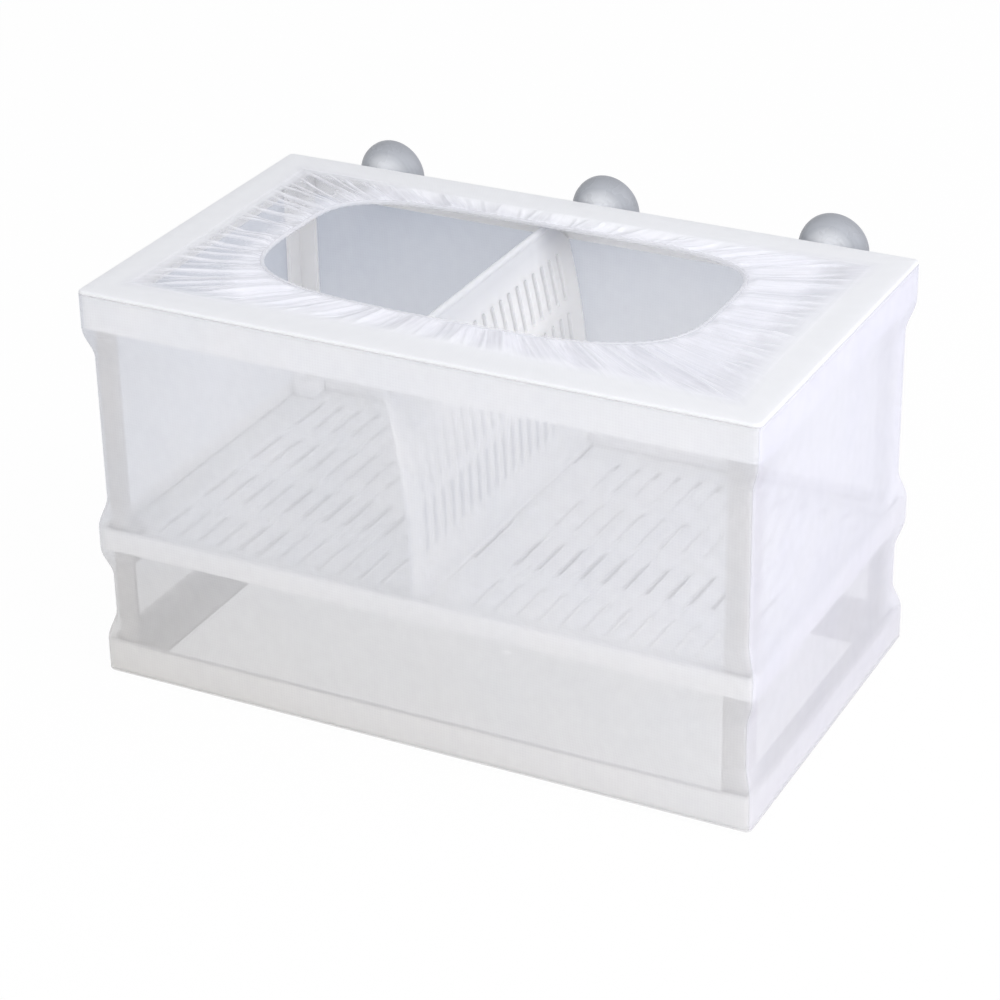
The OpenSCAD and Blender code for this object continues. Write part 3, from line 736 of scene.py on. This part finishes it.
def photo_camera():
    """The photograph's camera, as fitted to the box's corners."""
    azimuth, elevation, roll = (math.radians(angle) for angle in (27.2, 27.3, -1.03))
    distance, shift_right, shift_up = 1.09129, -0.00153, -0.01106
    lens_px, image_px = 2979.63, 1000
    back = Vector((math.sin(azimuth) * math.cos(elevation),
                   -math.cos(azimuth) * math.cos(elevation), math.sin(elevation)))
    level = (-back).cross(Vector((0, 0, 1))).normalized()
    raised = level.cross(-back)
    right = math.cos(roll) * level + math.sin(roll) * raised
    up = math.cos(roll) * raised - math.sin(roll) * level
    data = bpy.data.cameras.new("camera")
    data.lens = lens_px * data.sensor_width / image_px
    camera = bpy.data.objects.new("camera", data)
    camera.matrix_world = Matrix((right, up, back)).transposed().to_4x4()
    camera.location = back * distance + right * shift_right + up * shift_up + Vector((0, 0, TOP / 2))
    bpy.context.scene.collection.objects.link(camera)
    bpy.context.scene.camera = camera


def area_lamp(name, place, size, watts, colour):
    data = bpy.data.lights.new(name, "AREA")
    data.size = size
    data.energy = watts
    data.color = colour
    lamp = bpy.data.objects.new(name, data)
    lamp.location = place
    lamp.rotation_euler = (LAMPS_AIM - Vector(place)).to_track_quat("-Z", "Y").to_euler()
    bpy.context.scene.collection.objects.link(lamp)


def seen_straight(n):
    """1 for the camera's, glossy and glass rays that haven't passed through the net."""
    path = n.add("LightPath")
    seen = n.math("MAXIMUM", path.outputs["Is Camera Ray"], path.outputs["Is Glossy Ray"])
    seen = n.math("MAXIMUM", seen, path.outputs["Is Transmission Ray"])
    return n.math("MULTIPLY", seen, n.math("LESS_THAN", path.outputs["Transparent Depth"], 0.5))


def seen_through_net(n):
    """1 for the camera's rays that have passed through the net."""
    path = n.add("LightPath")
    return n.math("MULTIPLY", path.outputs["Is Camera Ray"],
                  n.math("GREATER_THAN", path.outputs["Transparent Depth"], 0.5))


def make_world():
    """White where the camera sees it straight, and a soft pale light for everything else."""
    world = bpy.data.worlds.new("world")
    bpy.context.scene.world = world
    n = Nodes(world)
    soft = n.made_from(n.tree.nodes["Background"], ROOM_LIGHT, AMBIENT)
    white = n.made_from(n.add("Background"), WHITE, 1.0)
    n.feed(n.tree.nodes["World Output"].inputs[0], n.mix_shaders(seen_straight(n), soft, white))


def make_floor():
    """A pale floor that is white to the camera apart from a faint share of the object's shadow.

    Through the net it glows with a painted tone: dim blue-grey far off, like a room behind the box, and a
    painted light that is paler below it and to the right."""
    slant, far, near = 0.8, -0.55, -0.05
    net_share, straight_share = 0.95, 0.97
    material = bpy.data.materials.new("floor")
    n = Nodes(material)
    n.set(Base_Color=FLOOR_COLOUR, Roughness=0.9)
    x, y, _ = n.split(n.place())
    # Painted light and shade: the glow seen through the net is dim far off and pale near the box and to its
    # right.
    nearer = n.remap(n.math("SUBTRACT", x, n.math("MULTIPLY", y, slant)), far, near)
    painted_tone = n.mix(nearer, FLOOR_SHADED_FAR, FLOOR_LIT_NEAR)
    shown = n.shader.outputs[0]
    for share, seen, colour in (
            (net_share, seen_through_net(n), painted_tone), (straight_share, seen_straight(n), WHITE)):
        glow = n.made_from(n.add("Emission"), colour, 1.0)
        shown = n.mix_shaders(n.math("MULTIPLY", seen, share), shown, glow)
    n.show(shown)
    mesh = bpy.data.meshes.new("floor")
    corners = ((-1, -1), (1, -1), (1, 1), (-1, 1))
    points = [(FLOOR_REACH * x, FLOOR_REACH * y, -FLOOR_DROP) for x, y in corners]
    mesh.from_pydata(points, [], [(0, 1, 2, 3)])
    finish_mesh("floor", mesh, material)


photo_camera()
make_world()
make_floor()
area_lamp("key", **KEY_LAMP)
area_lamp("fill", **FILL_LAMP)
bpy.context.scene.view_settings.view_transform = "Standard"
bpy.context.scene.cycles.use_denoising = True
bpy.context.scene.cycles.transparent_max_bounces = 32

net = net_material("net", 0.36)
# Painted light: the right wall's net is a bluer copy that hides more, standing in for the key lamp's glare on
# that side.
right_net_painted_glare = net_material("right_net_painted_glare", 0.50, RIGHT_NET_GLARE_PALE, RIGHT_NET_GLARE_BRIGHT)
bottom_net = net_material("bottom_net", 0.22)
gathered_net = net_material("gathered_net", 0.17, TOP_NET_SHADED_PALE, TOP_NET_SHADED_BRIGHT, gathered=True)
hem_net = net_material("hem_net", 0.5)

FINISHES = {
    # Painted shade: the frame darkens from 9 cm down to 6 cm high, and stays darker below.
    "frame_plastic": plastic_material(
        "frame_plastic", FRAME_PALE, FRAME_SHADE, roughness=0.5, grain=0.2, milky=0.3,
        painted_shade=(2, 0.09, 0.06, FRAME_PAINTED_SHADE)),
    # Painted shade: the plates darken from x = 5 cm to x = -12 cm, towards the left.
    "plate_plastic": plastic_material(
        "plate_plastic", PLATE_PALE, PLATE_SHADE, roughness=0.38, grain=0.15, milky=0.7,
        painted_shade=(0, 0.05, -0.12, PLATE_PAINTED_SHADE)),
    # Painted shade: the divider darkens from 12.5 cm up to 14.5 cm, and its slots' walls from 11.2 cm down to
    # 9.2 cm.
    "divider_plastic": plastic_material(
        "divider_plastic", DIVIDER_PALE, DIVIDER_SHADE, roughness=0.35, grain=0.15, milky=0.95,
        painted_shade=(2, 0.125, 0.145, DIVIDER_PAINTED_SHADE), shaded_slot_walls=(0.112, 0.092, SLOT_PAINTED_SHADE)),
    "cup_vinyl": cup_material(),
}
# Painted light and shade: the posts get a paler copy of the frame plastic, darkened from y = 3 cm to y = -3
# cm towards the front.
post_plastic = plastic_material(
    "post_plastic", POST_PALE, POST_SHADE, roughness=0.5, grain=0.2, milky=0.3,
    painted_shade=(1, 0.03, -0.03, POST_PAINTED_SHADE))
for part in frame["record"]["subparts"]:
    if part["material_slot"] in FINISHES:
        cad_mesh = frame["nodes"][part["node"]].data
        cad_mesh.materials.clear()
        is_post = "_post_" in part["node"]
        cad_mesh.materials.append(post_plastic if is_post else FINISHES[part["material_slot"]])

for box_wall in WALLS:
    make_wall(box_wall, right_net_painted_glare if box_wall.side == "right" else net)
make_bottom(bottom_net)
hem_piece = make_hem(hem_net)
make_top(gathered_net)
